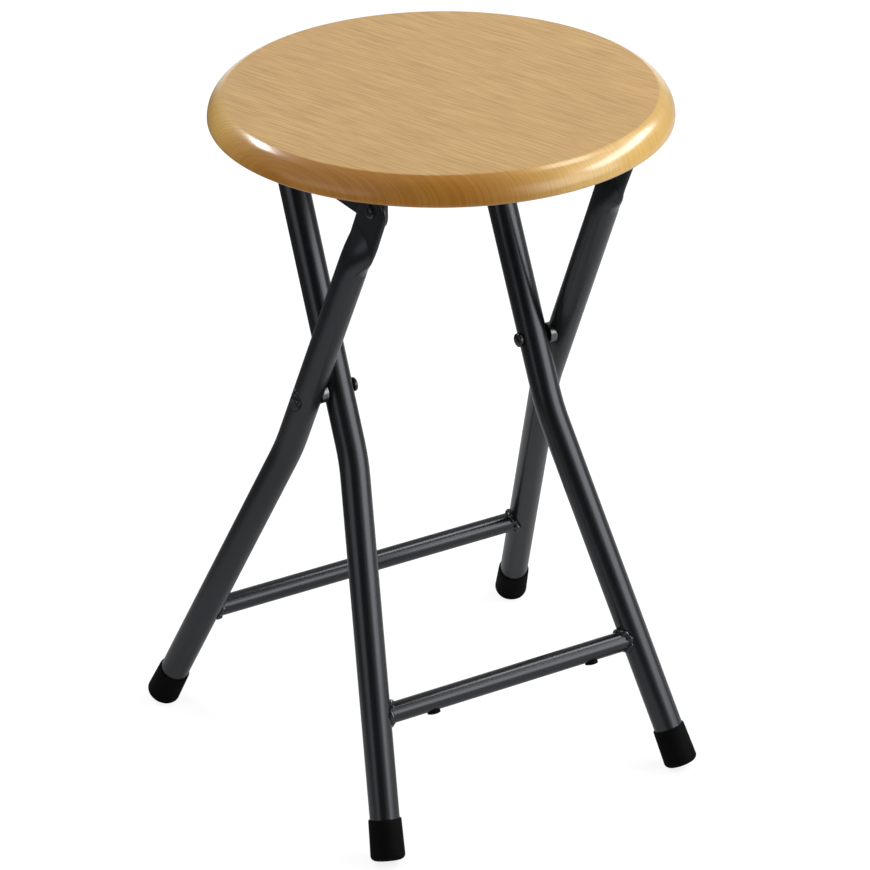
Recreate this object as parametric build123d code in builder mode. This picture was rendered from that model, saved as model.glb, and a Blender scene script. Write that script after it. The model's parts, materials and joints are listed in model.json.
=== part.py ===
from build123d import *
import os
from math import acos, asin, cos, degrees, radians, sin, sqrt, tan

# Folding stool: a round wooden seat on two crossed tube frames.
# X runs along the fold axis, +Y to the back, +Z up; the origin is on the floor under the middle.

# Seat: the rim is an arc that meets the flat top in a crease, with a small ease below
SEAT_RADIUS = 151
SEAT_THICKNESS = 18.9
SEAT_ROUND_WIDTH = 11
SEAT_EASE_WIDTH = 3
SEAT_EASE_HEIGHT = 1.6
SEAT_TOP = 483.6
SEAT_Y = -3.4

# Leg frames: the lean is measured from the vertical, the flare and the splay in the frame's own plane
TUBE_RADIUS = 10
TUBE_WALL = 1.2
PIVOT_Y = 4
PIVOT_Z = 285.4
OUTER_HALF_WIDTH = 99.2
OUTER_LEAN_ANGLE = 26.4
OUTER_FLARE_ANGLE = 1.9
OUTER_SPLAY_ANGLE = 9.6
OUTER_SPLAY_DROP = 52
INNER_LEAN_ANGLE = 24.7
INNER_FLARE_ANGLE = 0.65
INNER_SPLAY_ANGLE = 8.8
INNER_SPLAY_DROP = 49
SPLAY_BEND_RADIUS = 160
TOP_BEND_RADIUS = 40

# Stretchers, their welds and the drain plugs of the front one
BAR_RADIUS = 7
BAR_WALL = 1.2
REAR_BAR_DROP = 223.2
FRONT_BAR_DROP = 217.6
WELD_RADIUS = 2.6
WELD_INSET = 1.2
LEFT_PLUG_INSET = 32.5
RIGHT_PLUG_INSET = 27.5
PLUG_HEAD_RADIUS = 4
PLUG_STEM_RADIUS = 2.5
PLUG_STEM_LENGTH = 3
PLUG_RIM = 0.9
PLUG_DOME = 0.8

# Pinched ends of the outer legs
PINCH_WIDTH = 29.5
PINCH_THICKNESS = 4
PINCH_INSET = 0.65
PINCH_LENGTH = 30
NECK_LENGTH = 16

# Seat hinge: pressed rail, washer and rivet
HINGE_DROP = 18.7
HINGE_PLAY = 0.2
HINGE_PIN_RADIUS = 3
WASHER_THICKNESS = 1
WASHER_RADIUS = 8
RIVET_HEAD_RADIUS = 4.6
RIVET_HEAD_HEIGHT = 2.6
RIVET_TAIL_RADIUS = 6
RIVET_TAIL_HEIGHT = 1.8
RAIL_THICKNESS = 2
RAIL_DEPTH = 30.7
RAIL_FLANGE = 22
RAIL_FRONT = 9.5
RAIL_LENGTH = 165
RAIL_CORNER = 11

# Saddles that rest on the top run of the inner frame
SADDLE_X = 19
SADDLE_WIDTH = 20
SADDLE_ROOF = 5
SADDLE_REACH = 6
SADDLE_BACK = 13
REST_GAP = 0.3

# Screws into the seat
SCREW_RADIUS = 2
SCREW_LENGTH = 13
SCREW_HEAD_RADIUS = 4
SCREW_HEAD_HEIGHT = 2.4
SCREW_HEAD_ROUND = 1.4
SCREW_CLEARANCE = 0.25
RAIL_SCREW_INSET = 13
RAIL_SCREW_END = 26

# Scissor pivot: a pin in a pressed dimple, a spacer between the tubes and a domed cap inside
PIN_RADIUS = 3
PIN_CLEARANCE = 0.05
PIN_HEAD_RADIUS = 5.4
PIN_HEAD_RIM = 0.6
PIN_HEAD_DOME = 0.7
DIMPLE_RADIUS = 5.9
DIMPLE_DEPTH = 3
SPACER_RADIUS = 7
SPACER_LENGTH = 3.2
PIVOT_PLAY = 0.3
CAP_RADIUS = 4.8
CAP_RIM = 1.6
CAP_DOME = 1.8

# Rubber feet
FOOT_RADIUS = 11.7
FOOT_LIP_RADIUS = 11.1
FOOT_LENGTH = 27.5
FOOT_FLOOR = 6
FOOT_ROUND = 3.5
SOLE_CUT = 1

SIDES = {"left": -1, "right": 1}
os.makedirs("parts", exist_ok=True)


def save(piece, node):
    """Label a finished piece and write it as its own node."""
    piece.part.label = node
    export_step(piece.part, f"parts/{node}.step")


def frame_plane(lean):
    """Plane of one leg frame: origin on the pivot axis, Y up along the legs."""
    tilt = radians(lean)
    return Plane(origin=(0, PIVOT_Y, PIVOT_Z), x_dir=(1, 0, 0), z_dir=(0, -cos(tilt), -sin(tilt)))


def side_plane(center, sign):
    """Upright plane through an X axis: local X points outwards on that side, local Y up."""
    return Plane(origin=center, x_dir=(sign, 0, 0), z_dir=(0, -sign, 0))


def cross_plane(x, y=0.0, z=0.0):
    """Plane square to the fold axis: local X runs to the back, local Y up."""
    return Plane(origin=(x, y, z), x_dir=(0, 1, 0), z_dir=(1, 0, 0))


class LegFrame:
    """Centre line of one pair of legs, worked out in the plane of the frame."""

    def __init__(self, lean, half_width, flare, splay, splay_drop, bar_drop):
        self.plane = frame_plane(lean)
        self.half_width = half_width
        self.splay_drop = splay_drop
        self.bar_drop = bar_drop
        self.flare = tan(radians(flare))
        self.splay = radians(splay)
        self.rise_per_height = 1 / cos(radians(lean))
        tilt = acos(cos(radians(lean)) * cos(self.splay))
        rim_sink = (FOOT_RADIUS - FOOT_ROUND) * sin(tilt) + FOOT_ROUND * (1 - cos(tilt))
        self.foot_drop = (PIVOT_Z - rim_sink + SOLE_CUT) * self.rise_per_height
        self.end_drop = self.foot_drop - FOOT_FLOOR * cos(self.splay)
        self.bar_end = self.lower_x(bar_drop)

    def upper_x(self, rise):
        """Half width of the nearly straight upper part at a rise above the pivot."""
        return self.half_width - self.flare * rise

    def lower_x(self, drop):
        """Half width of the splayed lower part at a drop below the pivot."""
        return self.upper_x(-self.splay_drop) + (drop - self.splay_drop) * tan(self.splay)

    def at(self, x, rise):
        """Point of the frame's plane in the stool's own frame."""
        return self.plane.from_local_coords(Vector(x, rise, 0))

    def half_path(self, sign, top):
        """Corners of one leg from its lower end up to a given rise."""
        return [
            (sign * self.lower_x(self.end_drop), -self.end_drop),
            (sign * self.upper_x(-self.splay_drop), -self.splay_drop),
            (sign * self.upper_x(top), top),
        ]


inner_half_width = OUTER_HALF_WIDTH - 2 * TUBE_RADIUS - SPACER_LENGTH - PIVOT_PLAY
outer = LegFrame(
    OUTER_LEAN_ANGLE,
    OUTER_HALF_WIDTH,
    OUTER_FLARE_ANGLE,
    OUTER_SPLAY_ANGLE,
    OUTER_SPLAY_DROP,
    REAR_BAR_DROP,
)
inner = LegFrame(
    -INNER_LEAN_ANGLE,
    inner_half_width,
    INNER_FLARE_ANGLE,
    INNER_SPLAY_ANGLE,
    INNER_SPLAY_DROP,
    FRONT_BAR_DROP,
)
frames = {"rear": outer, "front": inner}

seat_underside = SEAT_TOP - SEAT_THICKNESS
hinge_rise = (seat_underside - HINGE_DROP - PIVOT_Z) * outer.rise_per_height
pinch_start = hinge_rise - PINCH_LENGTH
neck_rise = pinch_start - NECK_LENGTH
pinch_x = outer.upper_x(hinge_rise) - PINCH_INSET
pinch_half = PINCH_WIDTH / 2 - PINCH_THICKNESS / 2
hinge = {side: outer.at(sign * pinch_x, hinge_rise) for side, sign in SIDES.items()}
hinge_y = hinge["right"].Y
hinge_z = hinge["right"].Z

rail_outside = pinch_x - PINCH_THICKNESS / 2 - HINGE_PLAY - WASHER_THICKNESS
rail_inside = rail_outside - RAIL_THICKNESS
rail_front = hinge_y - RAIL_FRONT
rail_screw_x = rail_outside - RAIL_SCREW_INSET

run_z = seat_underside - SADDLE_ROOF - REST_GAP - TUBE_RADIUS
run_rise = (run_z - PIVOT_Z) * inner.rise_per_height
run_y = inner.at(0, run_rise).Y
saddle_bore = TUBE_RADIUS + REST_GAP
saddle_rear = run_y + saddle_bore + SADDLE_BACK
saddle_front = run_y - saddle_bore
saddle_screw_y = run_y + saddle_bore + SADDLE_BACK / 2

pivot = (0, PIVOT_Y, PIVOT_Z)
cap_face = inner_half_width - TUBE_RADIUS - PIVOT_PLAY
spacer_face = inner_half_width + TUBE_RADIUS + PIVOT_PLAY
crown_x = OUTER_HALF_WIDTH + TUBE_RADIUS
dimple_floor = crown_x - DIMPLE_DEPTH
plug_reach = inner.bar_end - TUBE_RADIUS
plug_x = {"left": LEFT_PLUG_INSET - plug_reach, "right": plug_reach - RIGHT_PLUG_INSET}


def rail_screw_points(sign):
    """Screw positions along one rail's flange."""
    steps = (RAIL_SCREW_END, RAIL_LENGTH / 2, RAIL_LENGTH - RAIL_SCREW_END)
    return [(sign * rail_screw_x, rail_front + step) for step in steps]


# Seat: a disc rounded over at the top and eased below, with pilot holes in its underside
with BuildPart() as seat_panel:
    round_height = SEAT_THICKNESS - SEAT_EASE_HEIGHT
    with BuildSketch(side_plane((0, SEAT_Y, seat_underside + SEAT_EASE_HEIGHT), 1)):
        with BuildLine():
            flat_x = SEAT_RADIUS - SEAT_ROUND_WIDTH
            ease_x = SEAT_RADIUS - SEAT_EASE_WIDTH
            TangentArc((SEAT_RADIUS, 0), (flat_x, round_height), tangent=(0, 1))
            Polyline(
                (flat_x, round_height),
                (0, round_height),
                (0, -SEAT_EASE_HEIGHT),
                (ease_x, -SEAT_EASE_HEIGHT),
            )
            EllipticalCenterArc((ease_x, 0), SEAT_EASE_WIDTH, SEAT_EASE_HEIGHT, -90, arc_size=90)
        make_face()
    revolve(axis=Axis((0, SEAT_Y, 0), (0, 0, 1)))
    with BuildSketch(Plane.XY.offset(seat_underside)):
        for sign in SIDES.values():
            with Locations(*rail_screw_points(sign), (sign * SADDLE_X, saddle_screw_y)):
                Circle(SCREW_RADIUS)
    extrude(amount=SCREW_LENGTH, mode=Mode.SUBTRACT)
save(seat_panel, "seat_panel")

# Solid rods on the legs' centre lines, used to cope what meets the tubes
with BuildPart() as outer_rods:
    for sign in SIDES.values():
        with BuildLine(outer.plane) as rod_path:
            FilletPolyline(*outer.half_path(sign, neck_rise), radius=SPLAY_BEND_RADIUS)
        with BuildSketch(Plane(origin=rod_path.line @ 0, z_dir=rod_path.line % 0)):
            Circle(TUBE_RADIUS)
        sweep()

with BuildPart() as inner_rods:
    with BuildLine(inner.plane) as rod_path:
        FilletPolyline(
            *inner.half_path(1, run_rise),
            *reversed(inner.half_path(-1, run_rise)),
            radius=[SPLAY_BEND_RADIUS, TOP_BEND_RADIUS, TOP_BEND_RADIUS, SPLAY_BEND_RADIUS],
        )
    with BuildSketch(Plane(origin=rod_path.line @ 0, z_dir=rod_path.line % 0)):
        Circle(TUBE_RADIUS)
    sweep()
rods = {"rear": outer_rods, "front": inner_rods}

# Outer legs: bent tube with a pressed dimple at the pivot, necked down to a pinched flat end
for side, sign in SIDES.items():
    with BuildPart() as dimple:
        with BuildSketch(side_plane(pivot, sign)):
            with BuildLine():
                dimple_back = dimple_floor - TUBE_WALL
                Polyline(
                    (dimple_back, 0),
                    (dimple_back, DIMPLE_RADIUS + TUBE_WALL),
                    (crown_x, DIMPLE_RADIUS + DIMPLE_DEPTH + 2 * TUBE_WALL),
                    (crown_x, 0),
                    close=True,
                )
            make_face()
        revolve(axis=Axis(pivot, (1, 0, 0)))
        add(outer_rods.part, mode=Mode.INTERSECT)

    with BuildPart() as outer_leg:
        with BuildLine(outer.plane) as leg_path:
            FilletPolyline(*outer.half_path(sign, neck_rise), radius=SPLAY_BEND_RADIUS)
        with BuildSketch(Plane(origin=leg_path.line @ 0, z_dir=leg_path.line % 0)):
            Circle(TUBE_RADIUS)
            Circle(TUBE_RADIUS - TUBE_WALL, mode=Mode.SUBTRACT)
        sweep()
        with BuildSketch(Plane(origin=leg_path.line @ 1, x_dir=(1, 0, 0), z_dir=leg_path.line % 1)):
            with BuildLine():
                corner = TUBE_RADIUS / sqrt(2)
                ThreePointArc((corner, -corner), (TUBE_RADIUS, 0), (corner, corner))
                ThreePointArc((corner, corner), (0, TUBE_RADIUS), (-corner, corner))
                ThreePointArc((-corner, corner), (-TUBE_RADIUS, 0), (-corner, -corner))
                ThreePointArc((-corner, -corner), (0, -TUBE_RADIUS), (corner, -corner))
            make_face()
        up_leg = outer.at(0, 1) - outer.at(0, 0)
        pinch_plane = Plane(outer.at(sign * pinch_x, pinch_start), x_dir=(1, 0, 0), z_dir=up_leg)
        with BuildSketch(pinch_plane):
            SlotCenterToCenter(2 * pinch_half, PINCH_THICKNESS, rotation=90)
        loft()
        with BuildSketch(pinch_plane):
            SlotCenterToCenter(2 * pinch_half, PINCH_THICKNESS, rotation=90)
        extrude(amount=PINCH_LENGTH)
        with BuildSketch(side_plane(hinge[side], sign)):
            SlotCenterToCenter(2 * pinch_half, PINCH_THICKNESS, rotation=90)
            with Locations((0, PINCH_WIDTH / 2)):
                Rectangle(PINCH_WIDTH, PINCH_WIDTH, mode=Mode.INTERSECT)
        revolve(axis=Axis(hinge[side], (1, 0, 0)))
        with BuildSketch(cross_plane(sign * pinch_x, hinge_y, hinge_z)):
            Circle(HINGE_PIN_RADIUS + PIN_CLEARANCE)
        extrude(amount=PINCH_THICKNESS, both=True, mode=Mode.SUBTRACT)
        add(dimple.part)
        with BuildSketch(side_plane(pivot, sign)):
            with BuildLine():
                Polyline(
                    (dimple_floor, 0),
                    (dimple_floor, DIMPLE_RADIUS),
                    (crown_x + TUBE_WALL, DIMPLE_RADIUS + DIMPLE_DEPTH + TUBE_WALL),
                    (crown_x + TUBE_WALL, 0),
                    close=True,
                )
            make_face()
        revolve(axis=Axis(pivot, (1, 0, 0)), mode=Mode.SUBTRACT)
        with BuildSketch(cross_plane(sign * OUTER_HALF_WIDTH, PIVOT_Y, PIVOT_Z)):
            Circle(PIN_RADIUS)
        extrude(amount=2 * TUBE_RADIUS, both=True, mode=Mode.SUBTRACT)
    save(outer_leg, f"outer_leg_{side}")

# Inner frame: one tube bent into an upturned U
with BuildPart() as inner_frame:
    with BuildLine(inner.plane) as frame_path:
        FilletPolyline(
            *inner.half_path(1, run_rise),
            *reversed(inner.half_path(-1, run_rise)),
            radius=[SPLAY_BEND_RADIUS, TOP_BEND_RADIUS, TOP_BEND_RADIUS, SPLAY_BEND_RADIUS],
        )
    with BuildSketch(Plane(origin=frame_path.line @ 0, z_dir=frame_path.line % 0)):
        Circle(TUBE_RADIUS)
        Circle(TUBE_RADIUS - TUBE_WALL, mode=Mode.SUBTRACT)
    sweep()
    with BuildSketch(cross_plane(0, PIVOT_Y, PIVOT_Z)):
        Circle(PIN_RADIUS + PIN_CLEARANCE)
    extrude(amount=inner_half_width + 2 * TUBE_RADIUS, both=True, mode=Mode.SUBTRACT)
save(inner_frame, "inner_frame_tube")

# Stretchers: thin tubes coped to the legs, with drain holes in the front one
stretchers = {}
for place, frame in frames.items():
    center = frame.at(0, -frame.bar_drop)
    with BuildPart() as stretcher:
        with BuildSketch(cross_plane(0, center.Y, center.Z)):
            Circle(BAR_RADIUS)
            Circle(BAR_RADIUS - BAR_WALL, mode=Mode.SUBTRACT)
        extrude(amount=frame.bar_end, both=True)
        add(rods[place].part, mode=Mode.SUBTRACT)
        if place == "front":
            down = frame.at(0, -frame.bar_drop - 1) - center
            for x in plug_x.values():
                with BuildSketch(Plane(frame.at(x, -frame.bar_drop), x_dir=(1, 0, 0), z_dir=down)):
                    Circle(PLUG_STEM_RADIUS)
                extrude(amount=2 * BAR_RADIUS, mode=Mode.SUBTRACT)
    save(stretcher, f"{place}_stretcher")
    stretchers[place] = stretcher

# Weld beads round the stretcher ends
for place, frame in frames.items():
    for side, sign in SIDES.items():
        weld_x = frame.bar_end - TUBE_RADIUS / cos(frame.splay) + WELD_INSET
        center = frame.at(sign * weld_x, -frame.bar_drop)
        with BuildPart() as weld:
            with BuildSketch(side_plane(center, sign)):
                with Locations((0, BAR_RADIUS)):
                    Circle(WELD_RADIUS)
            revolve(axis=Axis(center, (1, 0, 0)))
            with BuildSketch(cross_plane(center.X, center.Y, center.Z)):
                Circle(BAR_RADIUS)
            extrude(amount=2 * WELD_RADIUS, both=True, mode=Mode.SUBTRACT)
            add(rods[place].part, mode=Mode.SUBTRACT)
        save(weld, f"{place}_weld_{side}")

# Drain plugs: a domed head coped to the bar and a stem through its wall
for side, x in plug_x.items():
    center = inner.at(x, -inner.bar_drop)
    stem_top = BAR_RADIUS - PLUG_STEM_LENGTH
    head_edge = BAR_RADIUS + PLUG_RIM
    with BuildPart() as plug:
        with BuildSketch(Plane(center, x_dir=(1, 0, 0), z_dir=inner.plane.z_dir)):
            with BuildLine():
                Polyline(
                    (0, -head_edge - PLUG_DOME),
                    (0, -stem_top),
                    (PLUG_STEM_RADIUS, -stem_top),
                    (PLUG_STEM_RADIUS, -BAR_RADIUS + BAR_WALL),
                    (PLUG_HEAD_RADIUS, -BAR_RADIUS + BAR_WALL),
                    (PLUG_HEAD_RADIUS, -head_edge),
                )
                EllipticalCenterArc((0, -head_edge), PLUG_HEAD_RADIUS, PLUG_DOME, -90, arc_size=90)
            make_face()
        revolve(axis=Axis(center, inner.at(0, 1) - inner.at(0, 0)))
        add(stretchers["front"].part, mode=Mode.SUBTRACT)
    save(plug, f"stretcher_plug_{side}")

# Rubber feet: flared cups on the tube ends, cut flat where they meet the floor
for place, frame in frames.items():
    for side, sign in SIDES.items():
        bottom = frame.at(sign * frame.lower_x(frame.foot_drop), -frame.foot_drop)
        up_axis = frame.at(-sign * sin(frame.splay), cos(frame.splay)) - frame.at(0, 0)
        with BuildPart() as foot:
            with BuildSketch(Plane(bottom, x_dir=up_axis.cross(frame.plane.z_dir), z_dir=frame.plane.z_dir)):
                with BuildLine():
                    Line((0, 0), (FOOT_RADIUS - FOOT_ROUND, 0))
                    TangentArc((FOOT_RADIUS - FOOT_ROUND, 0), (FOOT_RADIUS, FOOT_ROUND), tangent=(1, 0))
                    Polyline(
                        (FOOT_RADIUS, FOOT_ROUND),
                        (FOOT_LIP_RADIUS, FOOT_LENGTH),
                        (TUBE_RADIUS, FOOT_LENGTH),
                        (TUBE_RADIUS, FOOT_FLOOR),
                        (0, FOOT_FLOOR),
                        (0, 0),
                    )
                make_face()
            revolve(axis=Axis(bottom, up_axis))
            split(bisect_by=Plane.XY, keep=Keep.TOP)
        save(foot, f"{place}_foot_{side}")

# Scissor pivot: pin through both tubes, spacer between them, domed cap inside
for side, sign in SIDES.items():
    with BuildPart() as pivot_pin:
        with BuildSketch(side_plane(pivot, sign)):
            with BuildLine():
                head_rim = dimple_floor + PIN_HEAD_RIM
                Polyline(
                    (head_rim + PIN_HEAD_DOME, 0),
                    (cap_face - CAP_RIM, 0),
                    (cap_face - CAP_RIM, PIN_RADIUS),
                    (dimple_floor, PIN_RADIUS),
                    (dimple_floor, PIN_HEAD_RADIUS),
                    (head_rim, PIN_HEAD_RADIUS),
                )
                EllipticalCenterArc((head_rim, 0), PIN_HEAD_DOME, PIN_HEAD_RADIUS, 0, arc_size=90)
            make_face()
        revolve(axis=Axis(pivot, (1, 0, 0)))
    save(pivot_pin, f"pivot_pin_{side}")

    with BuildPart() as spacer:
        with BuildSketch(cross_plane(sign * spacer_face, PIVOT_Y, PIVOT_Z)):
            Circle(SPACER_RADIUS)
        extrude(amount=sign * (OUTER_HALF_WIDTH - spacer_face))
        add(outer_rods.part, mode=Mode.SUBTRACT)
        with BuildSketch(cross_plane(sign * spacer_face, PIVOT_Y, PIVOT_Z)):
            Circle(PIN_RADIUS)
        extrude(amount=sign * (OUTER_HALF_WIDTH - spacer_face), mode=Mode.SUBTRACT)
    save(spacer, f"pivot_spacer_{side}")

    with BuildPart() as cap:
        with BuildSketch(side_plane(pivot, sign)):
            with BuildLine():
                cap_edge = cap_face - CAP_RIM
                Polyline(
                    (cap_edge - CAP_DOME, 0),
                    (cap_edge, 0),
                    (cap_edge, PIN_RADIUS),
                    (cap_face, PIN_RADIUS),
                    (cap_face, CAP_RADIUS),
                    (cap_edge, CAP_RADIUS),
                )
                TangentArc((cap_edge - CAP_DOME, 0), (cap_edge, CAP_RADIUS), tangent=(0, 1))
            make_face()
        revolve(axis=Axis(pivot, (1, 0, 0)))
    save(cap, f"pivot_cap_{side}")

# Rails: pressed angles under the seat that carry the hinge
for side, sign in SIDES.items():
    with BuildPart() as rail:
        with BuildSketch(cross_plane(sign * rail_outside)):
            with Locations((rail_front + RAIL_LENGTH / 2, seat_underside - RAIL_DEPTH / 2)):
                Rectangle(RAIL_LENGTH, RAIL_DEPTH)
            fillet(vertices().group_by(Axis.Y)[0], RAIL_CORNER)
        extrude(amount=-sign * RAIL_THICKNESS)
        with BuildSketch(Plane.XY.offset(seat_underside)):
            with Locations((sign * (rail_outside - RAIL_FLANGE / 2), rail_front + RAIL_LENGTH / 2)):
                Rectangle(RAIL_FLANGE, RAIL_LENGTH)
        extrude(amount=-RAIL_THICKNESS)
        top_edges = edges().filter_by(Axis.Y).group_by(Axis.Z)[-1].sort_by(Axis.X)
        fillet(top_edges[-1 if sign > 0 else 0], RAIL_THICKNESS)
        with BuildSketch(Plane.XY.offset(seat_underside)):
            with Locations(*rail_screw_points(sign)):
                Circle(SCREW_RADIUS + SCREW_CLEARANCE)
        extrude(amount=-2 * RAIL_THICKNESS, mode=Mode.SUBTRACT)
        with BuildSketch(cross_plane(sign * rail_outside, hinge_y, hinge_z)):
            Circle(HINGE_PIN_RADIUS)
        extrude(amount=2 * RAIL_THICKNESS, both=True, mode=Mode.SUBTRACT)
    save(rail, f"seat_rail_{side}")

    with BuildPart() as rail_screws:
        with BuildSketch(Plane.XY.offset(seat_underside + SCREW_LENGTH)):
            with Locations(*rail_screw_points(sign)):
                Circle(SCREW_RADIUS)
        extrude(amount=-SCREW_LENGTH - RAIL_THICKNESS)
        with BuildSketch(Plane.XY.offset(seat_underside - RAIL_THICKNESS)):
            with Locations(*rail_screw_points(sign)):
                Circle(SCREW_HEAD_RADIUS)
        extrude(amount=-SCREW_HEAD_HEIGHT)
        fillet(faces().group_by(Axis.Z)[0].edges(), SCREW_HEAD_ROUND)
    save(rail_screws, f"rail_screws_{side}")

    with BuildPart() as washer:
        with BuildSketch(cross_plane(sign * rail_outside, hinge_y, hinge_z)):
            Circle(WASHER_RADIUS)
            Circle(HINGE_PIN_RADIUS, mode=Mode.SUBTRACT)
        extrude(amount=sign * WASHER_THICKNESS)
    save(washer, f"hinge_washer_{side}")

    with BuildPart() as rivet:
        with BuildSketch(side_plane((0, hinge_y, hinge_z), sign)):
            with BuildLine():
                head_x = pinch_x + PINCH_THICKNESS / 2 + HINGE_PLAY
                Polyline(
                    (head_x + RIVET_HEAD_HEIGHT, 0),
                    (rail_inside - RIVET_TAIL_HEIGHT, 0),
                    (rail_inside - RIVET_TAIL_HEIGHT, RIVET_TAIL_RADIUS - RIVET_TAIL_HEIGHT / 2),
                    (rail_inside - RIVET_TAIL_HEIGHT / 2, RIVET_TAIL_RADIUS),
                    (rail_inside, RIVET_TAIL_RADIUS),
                    (rail_inside, HINGE_PIN_RADIUS),
                    (head_x, HINGE_PIN_RADIUS),
                    (head_x, RIVET_HEAD_RADIUS),
                )
                EllipticalCenterArc((head_x, 0), RIVET_HEAD_HEIGHT, RIVET_HEAD_RADIUS, 0, arc_size=90)
            make_face()
        revolve(axis=Axis((0, hinge_y, hinge_z), (1, 0, 0)))
    save(rivet, f"hinge_rivet_{side}")

# Saddles: moulded blocks with a rounded roof and a stop wall behind the top run
for side, sign in SIDES.items():
    with BuildPart() as saddle:
        saddle_low = run_z - SADDLE_REACH
        with BuildSketch(cross_plane(sign * SADDLE_X)):
            with BuildLine():
                Polyline(
                    (run_y, run_z + saddle_bore),
                    (saddle_front, run_z + saddle_bore),
                    (saddle_front, seat_underside),
                    (saddle_rear, seat_underside),
                    (saddle_rear, saddle_low),
                    (run_y + saddle_bore, saddle_low),
                    (run_y + saddle_bore, run_z),
                )
                RadiusArc((run_y + saddle_bore, run_z), (run_y, run_z + saddle_bore), -saddle_bore)
            make_face()
        extrude(amount=SADDLE_WIDTH / 2, both=True)
        screw_seat = saddle_low + SCREW_HEAD_HEIGHT
        with Locations((sign * SADDLE_X, saddle_screw_y, saddle_low)):
            with Locations(Location((0, 0, 0), (180, 0, 0))):
                CounterBoreHole(
                    SCREW_RADIUS + SCREW_CLEARANCE,
                    SCREW_HEAD_RADIUS + SCREW_CLEARANCE,
                    SCREW_HEAD_HEIGHT,
                )
    save(saddle, f"seat_saddle_{side}")

    with BuildPart() as saddle_screw:
        with BuildSketch(Plane.XY.offset(screw_seat)):
            with Locations((sign * SADDLE_X, saddle_screw_y)):
                Circle(SCREW_RADIUS)
        extrude(amount=seat_underside + SCREW_LENGTH - screw_seat)
        with BuildSketch(Plane.XY.offset(screw_seat)):
            with Locations((sign * SADDLE_X, saddle_screw_y)):
                Circle(SCREW_HEAD_RADIUS)
        extrude(amount=-SCREW_HEAD_HEIGHT)
    save(saddle_screw, f"saddle_screw_{side}")

fold_stop = asin((TUBE_RADIUS + BAR_RADIUS + REST_GAP) / REAR_BAR_DROP)
print("fold angle at the stop", round(OUTER_LEAN_ANGLE + INNER_LEAN_ANGLE - degrees(fold_stop), 2))
print("seat hinge", round(hinge_y, 3), round(hinge_z, 3))
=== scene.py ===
"""Folding stool: a round seat covered in wood film on two crossed tube frames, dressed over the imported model.

Lengths are in metres. X runs along the fold axis, +Y to the back, +Z up.
"""
import json

import bpy
import numpy as np
from mathutils import Matrix, Vector


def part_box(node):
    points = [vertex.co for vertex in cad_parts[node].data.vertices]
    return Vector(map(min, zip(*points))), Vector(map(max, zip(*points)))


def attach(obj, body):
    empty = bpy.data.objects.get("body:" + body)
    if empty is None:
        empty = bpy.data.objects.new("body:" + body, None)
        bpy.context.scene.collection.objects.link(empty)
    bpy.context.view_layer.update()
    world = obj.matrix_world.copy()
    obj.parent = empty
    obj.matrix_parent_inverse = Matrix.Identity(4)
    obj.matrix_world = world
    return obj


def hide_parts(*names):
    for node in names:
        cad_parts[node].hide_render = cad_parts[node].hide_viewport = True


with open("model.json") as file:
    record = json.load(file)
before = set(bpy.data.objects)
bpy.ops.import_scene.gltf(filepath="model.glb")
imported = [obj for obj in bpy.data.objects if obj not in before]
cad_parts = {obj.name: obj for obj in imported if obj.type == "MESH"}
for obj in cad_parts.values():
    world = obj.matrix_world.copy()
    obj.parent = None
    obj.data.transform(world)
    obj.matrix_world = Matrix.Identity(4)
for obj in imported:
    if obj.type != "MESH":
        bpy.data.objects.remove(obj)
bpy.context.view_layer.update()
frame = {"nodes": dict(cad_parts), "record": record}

MM = 0.001
SIDES = {"left": -1, "right": 1}

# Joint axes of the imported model
joints = {joint["name"]: np.array(joint["pos_m"]) for joint in frame["record"]["behaviour"]["joints"]}
PIVOT = joints["fold"]
HINGE = joints["seat_flip"]
ACROSS = np.array([1.0, 0.0, 0.0])

# Tubes
TUBE_RADIUS = 10 * MM
BAR_RADIUS = 7 * MM
SPLAY_BEND_RADIUS = 160 * MM
TOP_BEND_RADIUS = 40 * MM
OUTER_HALF_WIDTH = 99.2 * MM
SPACER_LENGTH = 3.2 * MM
PIVOT_PLAY = 0.3 * MM
INNER_HALF_WIDTH = OUTER_HALF_WIDTH - 2 * TUBE_RADIUS - SPACER_LENGTH - PIVOT_PLAY

# Seat edge: one round-over arc that meets the flat top in a soft crease
SEAT_ROUND_WIDTH = 11 * MM
SEAT_CREASE_RADIUS = 1.2 * MM
SEAT_EASE_WIDTH = 5.5 * MM
SEAT_EASE_HEIGHT = 3 * MM

# Pinched end of an outer leg
PINCH_HALF_WIDTH = 14.75 * MM
PINCH_HALF_THICKNESS = 2 * MM
PINCH_INSET = 0.65 * MM
RAMP_TOP = 20 * MM
RAMP_FOOT = 58 * MM
RAMP_SOFTNESS = 0.5 * MM
SHOULDER_TOP = 31 * MM
SHOULDER_FOOT = 52 * MM
NECK_LEAD = 6 * MM

# Scissor pivot
DIMPLE_RADIUS = 5.9 * MM
DIMPLE_DEPTH = 3 * MM
DIMPLE_SPAN = 14 * MM
PIN_RADIUS = 3 * MM
PIN_HEAD_RADIUS = 5.1 * MM
PIN_HEAD_CUP = 2.3 * MM
PIN_HEAD_ROLL = 1.2 * MM
PIN_HEAD_FLOOR = 0.2 * MM
SPACER_RADIUS = 7 * MM
SPACER_SINK = 1.8 * MM
CAP_RADIUS = 4.8 * MM
CAP_RIM = 1.6 * MM
CAP_DOME = 1.8 * MM
PIVOT_SOFT_EDGE = 0.4 * MM

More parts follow.
